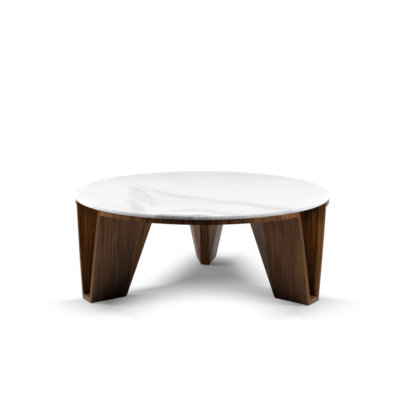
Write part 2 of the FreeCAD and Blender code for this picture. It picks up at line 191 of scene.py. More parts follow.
@dataclass(frozen=True)
class OiledWalnut(Finish):
    """Sliced American walnut under a satin oil.

    To the eye: long straight streaks from dark coffee to warm tan, broad soft
    bands a couple of centimetres wide, reddish clouds, fine dark pores, and a
    low sheen that turns pale at a grazing angle. Painted shade darkens it
    towards the floor, and on some boards towards the fold or under the top,
    where shade falls; a factor above one at the foot paints light there
    instead.

    Sizes are in millimetres and the lean is in degrees. A cut is where a
    pattern starts to show and where it shows in full, and the sway is a width
    and a length.
    """

    dark: str = "#3E2412"
    middle: str = "#724A25"
    light: str = "#986A3A"
    ruddy: str = "#714226"
    pale_wood_and_light: str = "#9E7040"
    band: float = 24.0
    streak: float = 5.0
    fibre: float = 2.2
    pore: float = 1.2
    cloud: float = 75.0
    figure_length: float = 340.0
    fibre_length: float = 90.0
    pore_length: float = 22.0
    cloud_stretch: float = 2.0
    sway: Pair = (60.0, 260.0)
    wander: float = 7.0
    lean: float = 0.0
    cloud_share: float = 0.4
    fibre_share: float = 0.25
    fine_share: float = 0.76
    figure_spread: float = 0.115
    contrast: float = 1.25
    blush_cut: Pair = (0.5, 0.7)
    blush: float = 0.45
    pore_cut: Pair = (0.66, 0.74)
    pore_depth: float = 0.45
    # Painted shade: the colour's factor at the foot and where it rises to one,
    # the share of the way in from the rim that carries it into the fold, and
    # the factor under the top. A factor above one at the foot paints light.
    foot_shading: float = 0.45
    foot_rise: Pair = (0.0, 300.0)
    corner: float = 0.0
    crown_shading: float = 1.0
    crown: Pair = (320.0, 396.0)
    roughness: float = 0.5
    polish_cut: Pair = (0.3, 0.7)
    polish: Pair = (-0.05, 0.07)
    relief: float = 0.25
    relief_depth: float = 0.25
    noise_roughness: float = 0.6
    ior: float = 1.5
    sheen: float = 0.3

    def stretched(self, tree: Tree, source: Socket, width: float,
                  length: float, detail: float) -> Socket:
        """Draws noise that is drawn out along the grain.

        Args:
            tree: The material's node tree.
            source: Grain coordinates in metres, along Y.
            width: Size across the grain in millimetres.
            length: Size along the grain in millimetres.
            detail: Octaves of finer noise.

        Returns:
            The noise, from nought to one.
        """
        across, along = 1 / (width * MM), 1 / (length * MM)
        laid = add_node(tree, "Mapping", {
            "Vector": source, "Scale": (across, along, across)})
        return add_node(tree, "TexNoise", {
            "Vector": laid, "Scale": 1.0, "Detail": detail,
            "Roughness": self.noise_roughness})

    def tone(self, tree: Tree) -> Socket:
        """Works out the shade painted into the wood at each place.

        It darkens the wood towards the floor, into the fold and under the top,
        where shade falls, and with a factor above one it lightens the wood
        towards the floor. The level that counts above the floor is the height
        less a share, the corner, of the way in from the rim. So the painted
        shade can run into the fold.

        Args:
            tree: The material's node tree.

        Returns:
            A factor for the wood's colour, one where it keeps its own.
        """
        spot = add_node(tree, "TexCoord", output="Object")
        height = add_node(tree, "SeparateXYZ", {"Vector": spot}, output="Z")
        flat = add_node(tree, "VectorMath", {0: spot, 1: (1.0, 1.0, 0.0)},
                        operation="MULTIPLY")
        radius = add_node(tree, "VectorMath", {0: flat}, output="Value",
                          operation="LENGTH")
        inward = add_node(tree, "Math", {0: radius, 1: RIM_RADIUS * MM},
                          operation="SUBTRACT")
        level = add_node(tree, "Math", {
            0: inward, 1: self.corner, 2: height}, operation="MULTIPLY_ADD")
        above_floor = add_node(tree, "MapRange", {
            "Value": level, "From Min": self.foot_rise[0] * MM,
            "From Max": self.foot_rise[1] * MM, "To Min": self.foot_shading})
        under_top = add_node(tree, "MapRange", {
            "Value": height, "From Min": self.crown[0] * MM,
            "From Max": self.crown[1] * MM, "To Min": 1.0,
            "To Max": self.crown_shading})
        return add_node(tree, "Math", {0: above_floor, 1: under_top},
                        operation="MULTIPLY")

    def material(self) -> Material:
        """Makes the walnut from the board's own grain coordinates.

        Returns:
            The material.
        """
        made, tree = self.start()
        board = add_node(tree, "Attribute", output="Vector",
                         attribute_name=GRAIN)
        grain = add_node(tree, "Mapping", {
            "Vector": board,
            "Rotation": (0.0, 0.0, -math.radians(self.lean))})
        sway = self.stretched(tree, grain, *self.sway, detail=1.0)
        push = add_node(tree, "Math", {0: sway, 1: self.wander * MM},
                        operation="MULTIPLY")
        wavy = add_node(tree, "VectorMath", {
            0: grain, 1: add_node(tree, "CombineXYZ", {"X": push})},
            operation="ADD")
        bands = self.stretched(tree, wavy, self.band, self.figure_length,
                               detail=2.0)
        streaks = self.stretched(tree, wavy, self.streak, self.figure_length,
                                 detail=3.0)
        # Real fibres and pores are a fifth of a millimetre wide; these are
        # drawn wider so that the render shows them.
        fibres = self.stretched(tree, wavy, self.fibre, self.fibre_length,
                                detail=2.0)
        pores = self.stretched(tree, wavy, self.pore, self.pore_length,
                               detail=0.0)
        clouds = self.stretched(tree, grain, self.cloud,
                                self.cloud_stretch * self.cloud, detail=2.0)
        broad = add_node(tree, "Mix", {
            "Factor": self.cloud_share, "A": bands, "B": clouds},
            data_type="FLOAT")
        fine = add_node(tree, "Mix", {
            "Factor": self.fibre_share, "A": streaks, "B": fibres},
            data_type="FLOAT")
        figure = add_node(tree, "Mix", {
            "Factor": self.fine_share, "A": broad, "B": fine},
            data_type="FLOAT")
        reach = self.figure_spread / self.contrast
        spread = add_node(tree, "MapRange", {
            "Value": figure, "From Min": 0.5 - reach,
            "From Max": 0.5 + reach})
        ramp = add_node(tree, "ValToRGB", {"Fac": spread})
        stops = ramp.node.color_ramp.elements
        stops[0].color, stops[1].color = linear(self.dark), linear(self.light)
        stops.new(0.5).color = linear(self.middle)
        blush = add_node(tree, "MapRange", {
            "Value": clouds, "From Min": self.blush_cut[0],
            "From Max": self.blush_cut[1], "To Max": self.blush})
        heart = add_node(tree, "Mix", {
            "Factor": blush, "A": ramp, "B": linear(self.ruddy)},
            output="Result", data_type="RGBA")
        # Along the stave the colour turns pale: paler wood on some boards,
        # painted light inside the front right leg and at the ends of the rim
        # bands.
        stave = add_node(tree, "Attribute", output="Fac",
                         attribute_name=STAVE)
        on_stave = add_node(tree, "MapRange", {
            "Value": stave, "From Min": STAVE_FADE * MM,
            "From Max": -STAVE_FADE * MM})
        pale_and_lit = add_node(tree, "Mix", {
            "Factor": spread, "A": linear(self.middle),
            "B": linear(self.pale_wood_and_light)}, output="Result", data_type="RGBA")
        wood = add_node(tree, "Mix", {
            "Factor": on_stave, "A": heart, "B": pale_and_lit},
            output="Result", data_type="RGBA")
        open_pore = add_node(tree, "MapRange", {
            "Value": pores, "From Min": self.pore_cut[0],
            "From Max": self.pore_cut[1], "To Max": self.pore_depth})
        pored = add_node(tree, "Mix", {
            "Factor": open_pore, "A": wood, "B": linear(self.dark)},
            output="Result", data_type="RGBA")
        # Painted shade, and on some boards painted light, scales the colour by
        # place.
        colour = add_node(tree, "VectorMath", {
            0: pored, "Scale": self.tone(tree)}, operation="SCALE")
        rough = add_node(tree, "MapRange", {
            "Value": streaks, "From Min": self.polish_cut[0],
            "From Max": self.polish_cut[1],
            "To Min": self.roughness + self.polish[0],
            "To Max": self.roughness + self.polish[1]})
        sunk = add_node(tree, "Math", {0: fibres, 1: open_pore},
                        operation="SUBTRACT")
        relief = add_node(tree, "Bump", {
            "Height": sunk, "Strength": self.relief,
            "Distance": self.relief_depth * MM})
        self.shade(tree, {"Base Color": colour, "Roughness": rough,
                          "Normal": relief, "IOR": self.ior,
                          "Specular IOR Level": self.sheen})
        return made


@dataclass(frozen=True)
class Vein:
    """One vein of the stone top, in millimetres from the table's axis.

    The fade is where the vein ends and where it is whole, as shares of its
    length from its middle. Its threads are a share of its width.
    """

    start: Pair
    end: Pair
    width: float
    depth: float
    haze: float = 0.15
    fade: Pair = (0.56, 0.3)
    thread_share: float = 0.3
    least_thread: float = 4.0
    thread_stretch: float = 7.0
    thread_cut: Pair = (0.4, 0.68)
    thread_roughness: float = 0.65

    def mask(self, tree: Tree, bent: Socket) -> Socket:
        """Draws the vein as threads along its line.

        Args:
            tree: The material's node tree.
            bent: Stone coordinates in metres, already bent by noise.

        Returns:
            How strongly the vein shows, from nought to its depth.
        """
        head, tail = Vector(self.start) * MM, Vector(self.end) * MM
        run = tail - head
        laid = add_node(tree, "Mapping", {
            "Vector": bent, "Location": (*((head + tail) / 2), 0.0),
            "Rotation": (0.0, 0.0, math.atan2(run.y, run.x))},
            vector_type="TEXTURE")
        parts = add_node(tree, "SeparateXYZ", {"Vector": laid}).node
        away = add_node(tree, "Math", {0: parts.outputs["Y"]},
                        operation="ABSOLUTE")
        line = add_node(tree, "MapRange", {
            "Value": away, "From Min": self.width * MM, "From Max": 0.0},
            interpolation_type="SMOOTHERSTEP")
        reach = add_node(tree, "Math", {0: parts.outputs["X"]},
                         operation="ABSOLUTE")
        fade = add_node(tree, "MapRange", {
            "Value": reach, "From Min": run.length * self.fade[0],
            "From Max": run.length * self.fade[1]},
            interpolation_type="SMOOTHSTEP")
        thread = 1 / (max(self.width * self.thread_share,
                          self.least_thread) * MM)
        threads = add_node(tree, "TexNoise", {
            "Vector": add_node(tree, "Mapping", {
                "Vector": laid,
                "Scale": (thread / self.thread_stretch, thread, thread)}),
            "Scale": 1.0, "Detail": 3.0, "Roughness": self.thread_roughness})
        drawn = add_node(tree, "MapRange", {
            "Value": threads, "From Min": self.thread_cut[0],
            "From Max": self.thread_cut[1],
            "To Min": self.haze * self.depth, "To Max": self.depth})
        band = add_node(tree, "Math", {0: line, 1: fade},
                        operation="MULTIPLY")
        return add_node(tree, "Math", {0: band, 1: drawn},
                        operation="MULTIPLY")


@dataclass(frozen=True)
class PolishedMarble(Finish):
    """White marble, sawn and polished.

    To the eye: a near-white ground with faint clouds, a few soft grey veins
    of fine threads that wander, split and fade, an edge that glows where
    light sinks into the stone, and a clear but gentle gloss.

    Sizes are in millimetres: the sink is how deep the light goes, and the
    warp is how large the veins' bends are and how far they reach.
    """

    veins: tuple[Vein, ...]
    ground: str = "#EDEDED"
    cloud: str = "#E5E5E5"
    vein: str = "#9C9C9C"
    sink: float = 15.0
    warp_size: float = 110.0
    warp_reach: float = 80.0
    warp_roughness: float = 0.62
    cloud_size: float = 210.0
    cloud_cut: Pair = (0.45, 0.75)
    roughness: float = 0.22
    polish: float = 0.04
    ior: float = 1.5

    def material(self) -> Material:
        """Makes the marble, with its veins placed on the table top.

        Returns:
            The material.
        """
        made, tree = self.start()
        place = add_node(tree, "TexCoord", output="Object")
        warp = add_node(tree, "TexNoise", {
            "Vector": place, "Scale": 1 / (self.warp_size * MM),
            "Detail": 5.0, "Roughness": self.warp_roughness}, output="Color")
        swing = self.warp_reach * MM
        bend = add_node(tree, "VectorMath", {
            0: add_node(tree, "VectorMath", {0: warp, 1: (0.5, 0.5, 0.5)},
                        operation="SUBTRACT"),
            1: (swing, swing, 0.0)}, operation="MULTIPLY")
        bent = add_node(tree, "VectorMath", {0: place, 1: bend},
                        operation="ADD")
        shown = 0.0
        for vein in self.veins:
            shown = add_node(tree, "Math", {
                0: shown, 1: vein.mask(tree, bent)}, operation="MAXIMUM")
        clouds = add_node(tree, "TexNoise", {
            "Vector": bent, "Scale": 1 / (self.cloud_size * MM),
            "Detail": 3.0})
        haze = add_node(tree, "MapRange", {
            "Value": clouds, "From Min": self.cloud_cut[0],
            "From Max": self.cloud_cut[1]})
        ground = add_node(tree, "Mix", {
            "Factor": haze, "A": linear(self.ground),
            "B": linear(self.cloud)}, output="Result", data_type="RGBA")
        stone = add_node(tree, "Mix", {
            "Factor": shown, "A": ground, "B": linear(self.vein)},
            output="Result", data_type="RGBA")
        rough = add_node(tree, "MapRange", {
            "Value": clouds, "To Min": self.roughness - self.polish,
            "To Max": self.roughness + self.polish})
        self.shade(tree, {"Base Color": stone, "Roughness": rough,
                          "IOR": self.ior, "Subsurface Weight": 1.0,
                          "Subsurface Radius": (1.0, 1.0, 1.0),
                          "Subsurface Scale": self.sink * MM})
        return made


# The long soft vein across the top, the lacy patch to its left, the faint vein
# near the front, the dark one in the front edge, partly the stone's own vein
# and partly painted shade where the edge faces away from the lamps, and a
# small one behind.
VEINS = (
    Vein((-225.0, 45.0), (-95.0, -130.0), 44.0, 0.42, haze=0.4),
    Vein((-150.0, -85.0), (85.0, -235.0), 62.0, 0.38, haze=0.5),
    Vein((10.0, -212.0), (235.0, -300.0), 70.0, 0.38, haze=0.5),
    Vein((160.0, -258.0), (370.0, -425.0), 62.0, 0.38, haze=0.5),
    Vein((-210.0, 35.0), (10.0, -190.0), 9.0, 0.4),
    Vein((185.0, -258.0), (335.0, -390.0), 9.0, 0.35),
    Vein((-345.0, 125.0), (-245.0, 5.0), 14.0, 0.4),
    Vein((-300.0, 165.0), (-200.0, 55.0), 16.0, 0.45),
    Vein((-285.0, 120.0), (-225.0, -190.0), 62.0, 0.42, haze=0.35),
    Vein((-310.0, -30.0), (-205.0, -280.0), 40.0, 0.42, haze=0.3),
    Vein((-290.0, -180.0), (-215.0, -490.0), 36.0, 0.5, haze=0.3),
    Vein((-235.0, -50.0), (-175.0, -350.0), 48.0, 0.36, haze=0.35),
    Vein((-110.0, -435.0), (45.0, -402.0), 36.0, 0.3, haze=0.5),
    Vein((-10.0, -398.0), (180.0, -512.0), 36.0, 0.3, haze=0.5),
    # Partly painted shade: darkens the middle of the front edge.
    Vein((-165.0, -510.0), (60.0, -534.0), 22.0, 0.9, haze=0.75),
    Vein((125.0, 238.0), (195.0, 188.0), 12.0, 0.3),
)


@dataclass(frozen=True)
class FittingFinish(Finish):
    """A fitting's surface: one colour broken by specks of a second.

    To the eye: plated steel is a cool grey with fine specks, brass a dull
    yellow, nylon a grained off-black and silicone a cloudy grey-white. The
    grit and the relief's depth are in millimetres.
    """

    body: str
    speck: str
    metallic: float
    roughness: float
    grit: float
    polish: float = 0.08
    relief: float = 0.2
    relief_depth: float = 0.1

    def material(self) -> Material:
        """Makes the finish from noise at the size of its grit.

        Returns:
            The material.
        """
        made, tree = self.start()
        place = add_node(tree, "TexCoord", output="Object")
        grit = add_node(tree, "TexNoise", {
            "Vector": place, "Scale": 1 / (self.grit * MM), "Detail": 3.0})
        colour = add_node(tree, "Mix", {
            "Factor": grit, "A": linear(self.body), "B": linear(self.speck)},
            output="Result", data_type="RGBA")
        rough = add_node(tree, "MapRange", {
            "Value": grit, "To Min": self.roughness - self.polish,
            "To Max": self.roughness + self.polish})
        relief = add_node(tree, "Bump", {
            "Height": grit, "Strength": self.relief,
            "Distance": self.relief_depth * MM})
        self.shade(tree, {"Base Color": colour, "Roughness": rough,
                          "Metallic": self.metallic, "Normal": relief})
        return made


FITTING_FINISHES = {
    Fitting.STEEL: FittingFinish("zinc_plated_steel", "#A9ADB0", "#C6C9CB",
                                 1.0, 0.35, 0.8),
    Fitting.BRASS: FittingFinish("turned_brass", "#B08D4A", "#CBA968",
                                 1.0, 0.32, 0.8),
    Fitting.NYLON: FittingFinish("moulded_nylon", "#1C1C1D", "#2A2A2B",
                                 0.0, 0.5, 1.0),
    Fitting.SILICONE: FittingFinish("clear_silicone", "#C9CCCD", "#DADCDD",
                                    0.0, 0.3, 2.0),
}


def set_down(shape: Shape, name: str, node: str, body: str,
             finishes: list[Material]) -> None:
    """Makes a bmesh a finished piece in the place of its CAD node.

    Args:
        shape: The finished shape, freed here.
        name: Name of the piece.
        node: CAD node that it stands for.
        body: Body that it rides on.
        finishes: Its materials, in the order of the faces' numbers.
    """
    mesh = bpy.data.meshes.new(name)
    shape.to_mesh(mesh)
    shape.free()
    mesh.shade_smooth()
    mesh.set_sharp_from_angle(angle=math.radians(SHARP_TURN))
    for finish in finishes:
        mesh.materials.append(finish)
    piece = bpy.data.objects.new(name, mesh)
    bpy.context.scene.collection.objects.link(piece)
    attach(piece, body)
    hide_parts(node)
    LOG.info("%s stands for %s, %d faces", name, node, len(mesh.polygons))


@dataclass
class MarbleTop:
    """The stone disc, turned from a half section and eased at both edges.

    The arris is in millimetres, and so are the limits that tell the rim's
    two edges: how near the rim they lie and how level they run.
    """

    node: str = "marble_top"
    arris: float = 2.0
    arris_steps: int = 4
    steps: int = 256
    near_rim: float = 1.0
    level: float = 0.1

    def build(self) -> Shape:
        """Spins the half section and rounds its two outer edges.

        Returns:
            The disc.
        """
        low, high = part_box(self.node)
        radius = high.x
        shape = bmesh.new()
        corners = [shape.verts.new(p) for p in (
            (0, 0, low.z), (radius, 0, low.z),
            (radius, 0, high.z), (0, 0, high.z))]
        outline = [shape.edges.new(pair)
                   for pair in zip(corners, corners[1:])]
        bmesh.ops.spin(shape, geom=corners + outline, axis=(0, 0, 1),
                       cent=(0, 0, 0), angle=math.tau, steps=self.steps,
                       use_merge=True)
        bmesh.ops.remove_doubles(shape, verts=shape.verts, dist=WELD * MM)
        bmesh.ops.recalc_face_normals(shape, faces=shape.faces)
        inner = radius - self.near_rim * MM
        rims = [e for e in shape.edges
                if all(v.co.xy.length > inner for v in e.verts)
                and abs(e.verts[0].co.z - e.verts[1].co.z) < self.level * MM]
        bmesh.ops.bevel(shape, geom=rims, offset=self.arris * MM,
                        segments=self.arris_steps, profile=0.5,
                        affect="EDGES", material=-1)
        return shape

    def dress(self) -> None:
        """Gives the disc its polish and sets it on the stone_top body."""
        marble = PolishedMarble("polished_white_marble", VEINS).material()
        set_down(self.build(), "marble_slab", self.node, "stone_top",
                 [marble])


@dataclass
class Lay:
    """How a board's grain lies: its heel and three directions."""

    heel: Vector
    across: Vector
    along: Vector
    depth: Vector

    @classmethod
    def through(cls, heel: Point, head: Point, beside: Point) -> "Lay":
        """Lays the grain from heel to head, with a third point on the face.

        Args:
            heel: Where the grain starts, in millimetres.
            head: Where it ends.
            beside: A point of the same face, off that line.

        Returns:
            The lay, in metres.
        """
        start = Vector(heel) * MM
        along = (Vector(head) * MM - start).normalized()
        across = Vector(beside) * MM - start
        across = (across - along * across.dot(along)).normalized()
        return cls(start, across, along, along.cross(across))

    def turned(self, side: Side, heading: float) -> "Lay":
        """Mirrors the lay to its side of the leg and turns it to the leg.

        Args:
            side: Side of the leg that the board is on.
            heading: The leg's heading in degrees.

        Returns:
            The lay on the table.
        """
        turn = (Matrix.Rotation(math.radians(heading), 3, "Z")
                @ Matrix.Diagonal((1.0, side.value, 1.0)))
        return Lay(turn @ self.heel, turn @ self.across,
                   turn @ self.along, turn @ self.depth)


@dataclass
class Stave:
    """A paler stave along a panel's outer end, in millimetres.

    Its width is given at the foot and at the top, on the panel's outer face
    and on its inner one. Inside the front right leg the strip is painted
    light.
    """

    outer_foot: float = 16.0
    outer_top: float = 4.0
    inner_foot: float = 8.0
    inner_top: float = 12.0
    board: float = 19.0
    length: float = 400.0

    def reach(self, along: float, depth: float) -> float:
        """Gives the stave's width at a place on the board.

        Args:
            along: The way up the board in metres.
            depth: The way into the board in metres.

        Returns:
            The width in metres.
        """
        rise = along / (self.length * MM)
        sunk = min(max(depth / (self.board * MM), 0.0), 1.0)
        outer = self.outer_foot + rise * (self.outer_top - self.outer_foot)
        inner = self.inner_foot + rise * (self.inner_top - self.inner_foot)
        return (outer + sunk * (inner - outer)) * MM


# The near panels' pale strips taper out at the top. Of the two panels that
# show their inside, the right leg's has a broad stave there, painted light
# along its outer end, and the left leg's has none.
STAVES_AND_LIGHT = {
    Leg.BACK: {Side.RIGHT: Stave(), Side.LEFT: Stave()},
    Leg.FRONT_LEFT: {Side.RIGHT: Stave(outer_foot=14.0, outer_top=0.0),
                     Side.LEFT: Stave(inner_foot=0.0, inner_top=0.0)},
    Leg.FRONT_RIGHT: {Side.RIGHT: Stave(inner_foot=13.0, inner_top=26.0),
                      Side.LEFT: Stave(outer_foot=2.0, outer_top=0.0)},
}


@dataclass
class Board:
    """One walnut board: its CAD solid with eased edges and laid grain.

    Lengths are in millimetres and turns in degrees. Faces that turn by less
    than the flat turn are joined, and edges that turn by more than the sharp
    one and are longer than the shortest are eased. What lies deeper than
    the inside is the board's inside face.
    """

    node: str
    number: int
    arris: float = 0.6
    arris_steps: int = 2
    shortest: float = 12.0
    flat_turn: float = 0.5
    sharp_turn: float = 25.0
    inside: float = 14.0

    def eased(self) -> Shape:
        """Copies the CAD board, joins its triangles and eases its edges.

        Returns:
            The board's shape.
        """
        shape = bmesh.new()
        shape.from_mesh(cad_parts[self.node].data)
        bmesh.ops.remove_doubles(shape, verts=shape.verts, dist=WELD * MM)
        bmesh.ops.dissolve_limit(shape,
                                 angle_limit=math.radians(self.flat_turn),
                                 verts=shape.verts, edges=shape.edges)
        if self.arris:
            least = math.radians(self.sharp_turn)
            sharp = [e for e in shape.edges
                     if e.calc_length() > self.shortest * MM
                     and e.calc_face_angle(0.0) > least]
            bmesh.ops.bevel(shape, geom=sharp, offset=self.arris * MM,
                            segments=self.arris_steps, profile=0.5,
                            affect="EDGES", material=-1, clamp_overlap=False)
        return shape

    def lay_grain(self, shape: Shape, lay: Lay,
                  stave: Stave | None = None) -> None:
        """Writes the grain and stave coordinates on the board's points.

        Args:
            shape: The eased board.
            lay: How its grain lies.
            stave: The paler stave, where the board has one.
        """
        grain = shape.verts.layers.float_vector.new(GRAIN)
        edge = shape.verts.layers.float.new(STAVE)
        offset = BOARD_STEP * self.number
        for vert in shape.verts:
            from_heel = vert.co - lay.heel
            place = Vector((from_heel.dot(lay.across),
                            from_heel.dot(lay.along),
                            from_heel.dot(lay.depth)))
            vert[grain] = place + offset
            vert[edge] = (place.x - stave.reach(place.y, place.z)
                          if stave else NO_STAVE)

    def mark_inside(self, shape: Shape, lay: Lay) -> None:
        """Gives the faces at the back of the board the inside's number.

        Args:
            shape: The eased board.
            lay: How its grain lies.
        """
        for face in shape.faces:
            if all((vert.co - lay.heel).dot(lay.depth) > self.inside * MM
                   for vert in face.verts):
                face.material_index = INSIDE_NUMBER


@dataclass(frozen=True)
class LegFinishes:
    """The materials of a folded leg, by the surface that they cover."""

    panel: Material
    inside: Material
    gusset: Material
    spine: Material
    edge: Material
    plate: Material
    sole: Material

    def for_board(self, kind: Plank) -> list[Material]:
        """Lists a board's materials: faces, end on the rim, inside.

        Args:
            kind: The kind of board.

        Returns:
            The materials in the order of the faces' numbers.
        """
        return {
            Plank.PANEL: [self.panel, self.edge, self.inside],
            Plank.GUSSET: [self.gusset],
            Plank.SPINE: [self.spine],
            Plank.FOOT_PLATE: [self.plate, self.sole],
            Plank.CLEAT: [self.spine],
        }[kind]


@dataclass
class FoldedLeg:
    """One folded leg, with its corners in millimetres from the table's axis.

    The leg's own frame has X out along the leg, Y to its right as one faces
    it from outside, and Z up. The corners are those of its right half.
    """

    leg: Leg
    first_number: int
    rim_radius: float = RIM_RADIUS
    foot_corner: Point = (530.4, 47.0, 2.5)
    crown_corner: Point = (516.4, 130.0, 395.0)
    fold_corner: Point = (337.0, 95.9, 376.0)
    spine_corner: Point = (214.5, 20.0, 376.0)
    apex: Point = (358.2, 20.8, 14.5)
    plate_half: float = 20.0
    cleat_half: float = 60.0

    def lays(self) -> dict[Plank, Lay]:
        """Gives the lay of the grain on each kind of board.

        Returns:
            The lays on the right half of a leg that heads along X.
        """
        head = (Vector(self.fold_corner) + Vector(self.spine_corner)) / 2
        foot_z, shoulder = self.foot_corner[2], self.fold_corner[2]
        apex_x = self.apex[0]
        return {
            Plank.PANEL: Lay.through(self.foot_corner, self.crown_corner,
                                     self.fold_corner),
            Plank.GUSSET: Lay.through(self.apex, head, self.spine_corner),
            Plank.SPINE: Lay.through((apex_x, 0, self.apex[2]),
                                     (self.spine_corner[0], 0, shoulder),
                                     self.spine_corner),
            Plank.FOOT_PLATE: Lay.through((apex_x, 0, foot_z),
                                          (self.rim_radius, 0, foot_z),
                                          (apex_x, self.plate_half, foot_z)),
            Plank.CLEAT: Lay.through(
                (apex_x, -self.cleat_half, shoulder),
                (apex_x, self.cleat_half, shoulder),
                (self.rim_radius, -self.cleat_half, shoulder)),
        }

    def boards(self) -> list[tuple[str, Side, Plank]]:
        """Lists the leg's boards.

        Returns:
            The ending of its node's name, side and kind of each board.
        """
        paired = [(f"{side.name.lower()}_{kind.value}", side, kind)
                  for kind in (Plank.PANEL, Plank.GUSSET) for side in Side]
        return paired + [
            (kind.value, Side.RIGHT, kind)
            for kind in (Plank.SPINE, Plank.FOOT_PLATE, Plank.CLEAT)]

    def mark_rim(self, shape: Shape) -> None:
        """Gives a board's faces on the rim cylinder the rim's number.

        Args:
            shape: The eased board.
        """
        inner = (self.rim_radius - RIM_TOLERANCE) * MM
        for face in shape.faces:
            if all(vert.co.xy.length > inner for vert in face.verts):
                face.material_index = RIM_NUMBER

    def dress(self, finishes: LegFinishes, staves: dict[Side, Stave]) -> None:
        """Builds every board of the leg and gives it its finish.

        Args:
            finishes: The materials of the leg.
            staves: The paler stave of each side panel.
        """
        lays = self.lays()
        for count, (ending, side, kind) in enumerate(self.boards()):
            node = f"{self.leg.title}_leg_{ending}"
            board = Board(node, self.first_number + count)
            shape = board.eased()
            lay = lays[kind].turned(side, self.leg.value)
            if kind is Plank.PANEL:
                board.lay_grain(shape, lay, staves[side])
                board.mark_inside(shape, lay)
            else:
                board.lay_grain(shape, lay)
            if kind in (Plank.PANEL, Plank.FOOT_PLATE):
                self.mark_rim(shape)
            set_down(shape, node + "_board", node, "table_base",
                     finishes.for_board(kind))


@dataclass
class SubTop:
    """The veneered round panel under the stone and its three rim bands.

    Each band is painted dark in its middle and pale towards its ends: painted
    shade where the rim's front faces away from the lamps, and painted light on
    the sides. The bands lie a band turn apart, and the other turns are from a
    band's middle, all in degrees. The radius is in millimetres.
    """

    panel: str = "sub_top_panel"
    panel_number: int = 40
    bands: tuple[str, ...] = ("rim_band_left", "rim_band_front",
                              "rim_band_right")
    band_turn: float = 120.0
    painted_shade_turn: float = 6.0
    painted_light_turn: float = 40.0
    rim_radius: float = RIM_RADIUS

    def dress(self, walnut: Material, lipping: Material) -> None:
        """Lays the panel's grain from side to side and the bands' upright.

        Args:
            walnut: The panel's veneer.
            lipping: The bands' material.
        """
        flat = Lay(Vector((0, 0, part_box(self.panel)[0].z)),
                   Vector((0, 1, 0)), Vector((1, 0, 0)), Vector((0, 0, 1)))
        board = Board(self.panel, self.panel_number, arris=0.0)
        shape = board.eased()
        board.lay_grain(shape, flat)
        set_down(shape, "sub_top_board", self.panel, "table_base",
                 [walnut])
        for number, node in enumerate(self.bands):
            shape = Board(node, number, arris=0.0).eased()
            self.wrap_grain(shape, number)
            set_down(shape, node + "_lipping", node, "table_base",
                     [lipping])

    def wrap_grain(self, shape: Shape, number: int) -> None:
        """Runs a band's grain upright, measured round the rim.

        Args:
            shape: The band.
            number: Its number, which sets its grain apart from the others'.
        """
        grain = shape.verts.layers.float_vector.new(GRAIN)
        edge = shape.verts.layers.float.new(STAVE)
        third = math.radians(self.band_turn)
        for vert in shape.verts:
            turn = math.atan2(vert.co.x, -vert.co.y)
            vert[grain] = (turn % math.tau * self.rim_radius * MM,
                           vert.co.z, vert.co.xy.length + number)
            # The stave value paints each band: painted shade in its middle,
            # painted light towards its ends.
            off = abs(math.degrees(turn - third * round(turn / third)))
            pale = (off - self.painted_shade_turn) / (self.painted_light_turn - self.painted_shade_turn)
            vert[edge] = (1 - 2 * pale) * STAVE_FADE * MM


@dataclass
class Fittings:
    """Bolts, washers, inserts, pads and levelling glides from the CAD."""

    plain: tuple[tuple[str, Fitting], ...] = (
        ("marble_pads", Fitting.SILICONE),
        ("leg_bolts", Fitting.STEEL),
        ("bolt_washers", Fitting.STEEL),
        ("cleat_inserts", Fitting.BRASS),
    )
    glide: tuple[tuple[str, Fitting], ...] = (
        ("base", Fitting.NYLON),
        ("stem", Fitting.STEEL),
        ("insert", Fitting.BRASS),
    )

    def dress(self) -> None:
        """Puts a finish on every fitting."""
        made = {kind: finish.material()
                for kind, finish in FITTING_FINISHES.items()}
        nodes = list(self.plain) + [
            (f"{leg.title}_glide_{part}", kind)
            for leg in Leg for part, kind in self.glide]
        for node, kind in nodes:
            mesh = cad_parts[node].data
            mesh.materials.clear()
            mesh.materials.append(made[kind])
            LOG.info("%s dressed in %s", node, made[kind].name)


def seen_white(tree: Tree, path: bpy.types.Node, share: Socket) -> Socket:
    """Tells how much of the studio's own white a ray sees.

    Args:
        tree: Node tree of the floor or the room.
        path: Its Light Path node.
        share: How much of the white a mirrored ray sees.

    Returns:
        One for the camera, the share for a mirrored ray, and nought else.
    """
    mirrored = add_node(tree, "Math", {
        0: path.outputs["Is Glossy Ray"],
        1: path.outputs["Is Transmission Ray"]}, operation="MAXIMUM")
    dimmed = add_node(tree, "Math", {0: mirrored, 1: share},
                      operation="MULTIPLY")
    return add_node(tree, "Math", {
        0: path.outputs["Is Camera Ray"], 1: dimmed}, operation="MAXIMUM")


@dataclass
class Softbox:
    """One soft square lamp, placed by its heading and height in degrees.

    The heading is nought at the front and grows to the right. At a level of
    one the lamp alone makes a white card that faces it white. The distance,
    the size and the aim are in metres.
    """

    name: str
    heading: float
    height: float
    level: float
    distance: float = 4.2
    size: float = 1.8
    aim: Point = (0.0, 0.0, 0.35)

    def hang(self) -> None:
        """Adds the lamp and turns it to its aim."""
        turn, rise = math.radians(self.heading), math.radians(self.height)
        outward = Vector((math.sin(turn) * math.cos(rise),
                          -math.cos(turn) * math.cos(rise), math.sin(rise)))
        lamp = bpy.data.lights.new(self.name, "AREA")
        lamp.shape = "SQUARE"
        lamp.size = self.size
        lamp.energy = self.level * (math.pi * self.distance) ** 2
        holder = bpy.data.objects.new(self.name, lamp)
        # The polished stone would clip where it mirrors a lamp.
        holder.visible_glossy = False
        holder.location = Vector(self.aim) + outward * self.distance
        holder.rotation_euler = (-outward).to_track_quat("-Z", "Y").to_euler()
        bpy.context.scene.collection.objects.link(holder)


